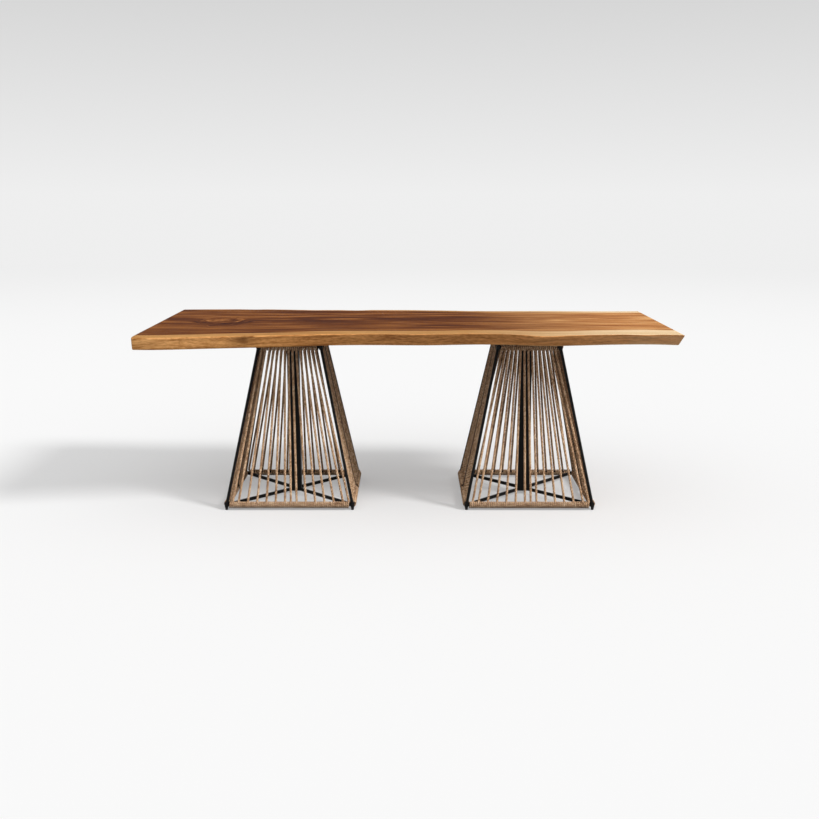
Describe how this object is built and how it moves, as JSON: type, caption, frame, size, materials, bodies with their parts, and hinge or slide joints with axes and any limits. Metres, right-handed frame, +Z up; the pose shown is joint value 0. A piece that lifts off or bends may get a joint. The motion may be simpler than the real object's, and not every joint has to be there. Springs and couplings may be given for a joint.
{
  "type": "dining table",
  "caption": "Long dining table: a live-edge wooden slab on tapered black steel pedestals whose faces are strung with natural rope, with screw-in levelling feet.",
  "frame": {"origin": "on the floor, under the middle of the slab's outline", "axes": "+X along the slab to its right end, +Y to its back edge, +Z up"},
  "size_m": [2.14, 1.0173, 0.762],
  "materials": {
    "live_edge_wood": "satin oil",
    "black_steel": "satin powder coat",
    "rope": "twisted natural fibre",
    "foot_glide": "moulded",
    "zinc_steel": "zinc plated"
  },
  "bodies": {
    "table": {"slab": "live_edge_wood", "slab_bolts": "zinc_steel", "slab_washers": "zinc_steel", "slab_inserts": "zinc_steel", "column_caps": "black_steel", "left_base_rail_front": "black_steel", "left_top_rail_front": "black_steel", "left_rope_front": "rope", "left_base_rail_right": "black_steel", "left_top_rail_right": "black_steel", "left_rope_right": "rope", "left_base_rail_back": "black_steel", "left_top_rail_back": "black_steel", "left_rope_back": "rope", "left_base_rail_left": "black_steel", "left_top_rail_left": "black_steel", "left_rope_left": "rope", "left_leg_front_left": "black_steel", "left_leg_front_right": "black_steel", "left_leg_back_right": "black_steel", "left_leg_back_left": "black_steel", "left_uprights": "black_steel", "left_corner_blocks": "black_steel", "left_top_posts": "black_steel", "left_base_braces": "black_steel", "left_column": "black_steel", "left_top_plate": "black_steel", "right_base_rail_front": "black_steel", "right_top_rail_front": "black_steel", "right_rope_front": "rope", "right_base_rail_right": "black_steel", "right_top_rail_right": "black_steel", "right_rope_right": "rope", "right_base_rail_back": "black_steel", "right_top_rail_back": "black_steel", "right_rope_back": "rope", "right_base_rail_left": "black_steel", "right_top_rail_left": "black_steel", "right_rope_left": "rope", "right_leg_front_left": "black_steel", "right_leg_front_right": "black_steel", "right_leg_back_right": "black_steel", "right_leg_back_left": "black_steel", "right_uprights": "black_steel", "right_corner_blocks": "black_steel", "right_top_posts": "black_steel", "right_base_braces": "black_steel", "right_column": "black_steel", "right_top_plate": "black_steel"},
    "left_foot_front_left": {"left_foot_front_left": "foot_glide"},
    "left_foot_front_right": {"left_foot_front_right": "foot_glide"},
    "left_foot_back_right": {"left_foot_back_right": "foot_glide"},
    "left_foot_back_left": {"left_foot_back_left": "foot_glide"},
    "right_foot_front_left": {"right_foot_front_left": "foot_glide"},
    "right_foot_front_right": {"right_foot_front_right": "foot_glide"},
    "right_foot_back_right": {"right_foot_back_right": "foot_glide"},
    "right_foot_back_left": {"right_foot_back_left": "foot_glide"}
  },
  "joints": [
    {"name": "left_foot_front_left_level", "type": "slide", "parent": "table", "child": "left_foot_front_left", "axis": [0, 0, -1], "range_m": [0, 0.008]},
    {"name": "left_foot_front_right_level", "type": "slide", "parent": "table", "child": "left_foot_front_right", "axis": [0, 0, -1], "range_m": [0, 0.008]},
    {"name": "left_foot_back_right_level", "type": "slide", "parent": "table", "child": "left_foot_back_right", "axis": [0, 0, -1], "range_m": [0, 0.008]},
    {"name": "left_foot_back_left_level", "type": "slide", "parent": "table", "child": "left_foot_back_left", "axis": [0, 0, -1], "range_m": [0, 0.008]},
    {"name": "right_foot_front_left_level", "type": "slide", "parent": "table", "child": "right_foot_front_left", "axis": [0, 0, -1], "range_m": [0, 0.008]},
    {"name": "right_foot_front_right_level", "type": "slide", "parent": "table", "child": "right_foot_front_right", "axis": [0, 0, -1], "range_m": [0, 0.008]},
    {"name": "right_foot_back_right_level", "type": "slide", "parent": "table", "child": "right_foot_back_right", "axis": [0, 0, -1], "range_m": [0, 0.008]},
    {"name": "right_foot_back_left_level", "type": "slide", "parent": "table", "child": "right_foot_back_left", "axis": [0, 0, -1], "range_m": [0, 0.008]}
  ]
}
